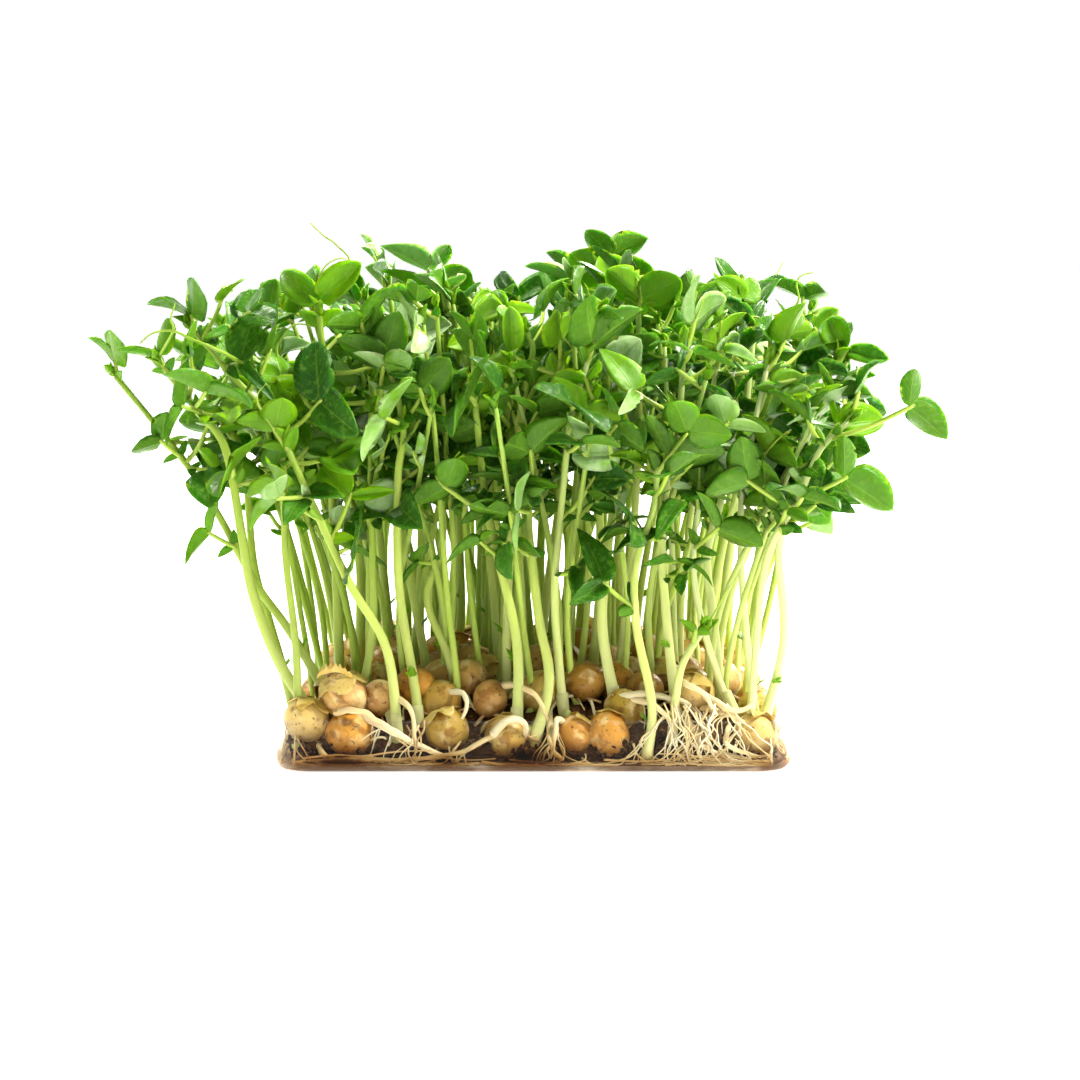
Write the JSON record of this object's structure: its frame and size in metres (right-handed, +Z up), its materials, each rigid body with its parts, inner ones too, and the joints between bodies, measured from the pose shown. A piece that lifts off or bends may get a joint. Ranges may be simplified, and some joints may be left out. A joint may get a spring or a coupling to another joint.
{
  "type": "pea shoot microgreens tray",
  "caption": "Dense stand of leafy pea shoots growing from swollen seeds and matted roots on a bed of soil in a shallow square clear tray.",
  "frame": {"origin": "centre of the tray's flat underside", "axes": "+Z up, +X to the right along the tray's front, -Y out of the tray's front face"},
  "size_m": [0.1593, 0.1147, 0.0965],
  "materials": {
    "clear_plastic": "clear, glossy",
    "soil": "moist and crumbly",
    "seeds_and_roots": "satin",
    "foliage": "satin"
  },
  "bodies": {
    "root": {"tray": "clear_plastic", "soil": "soil", "seed_root_mat": "seeds_and_roots", "shoot_01": "foliage", "shoot_02": "foliage", "shoot_03": "foliage", "shoot_04": "foliage", "shoot_05": "foliage", "shoot_06": "foliage", "shoot_07": "foliage", "shoot_08": "foliage", "shoot_09": "foliage", "shoot_10": "foliage", "shoot_11": "foliage", "shoot_12": "foliage", "shoot_13": "foliage", "shoot_14": "foliage", "shoot_15": "foliage", "shoot_16": "foliage", "shoot_17": "foliage", "shoot_18": "foliage", "shoot_19": "foliage", "shoot_20": "foliage", "shoot_21": "foliage", "shoot_22": "foliage", "shoot_23": "foliage", "shoot_24": "foliage", "shoot_25": "foliage", "shoot_26": "foliage", "shoot_27": "foliage", "shoot_28": "foliage", "shoot_29": "foliage", "shoot_30": "foliage", "shoot_31": "foliage", "shoot_32": "foliage", "shoot_33": "foliage", "shoot_34": "foliage", "shoot_35": "foliage", "shoot_36": "foliage", "shoot_37": "foliage", "shoot_38": "foliage", "shoot_39": "foliage", "shoot_40": "foliage", "shoot_41": "foliage", "shoot_42": "foliage", "shoot_43": "foliage", "shoot_44": "foliage", "shoot_45": "foliage", "shoot_46": "foliage", "shoot_47": "foliage", "shoot_48": "foliage", "shoot_49": "foliage", "shoot_50": "foliage", "shoot_51": "foliage", "shoot_52": "foliage", "shoot_53": "foliage", "shoot_54": "foliage", "shoot_55": "foliage", "shoot_56": "foliage", "shoot_57": "foliage"}
  },
  "joints": []
}
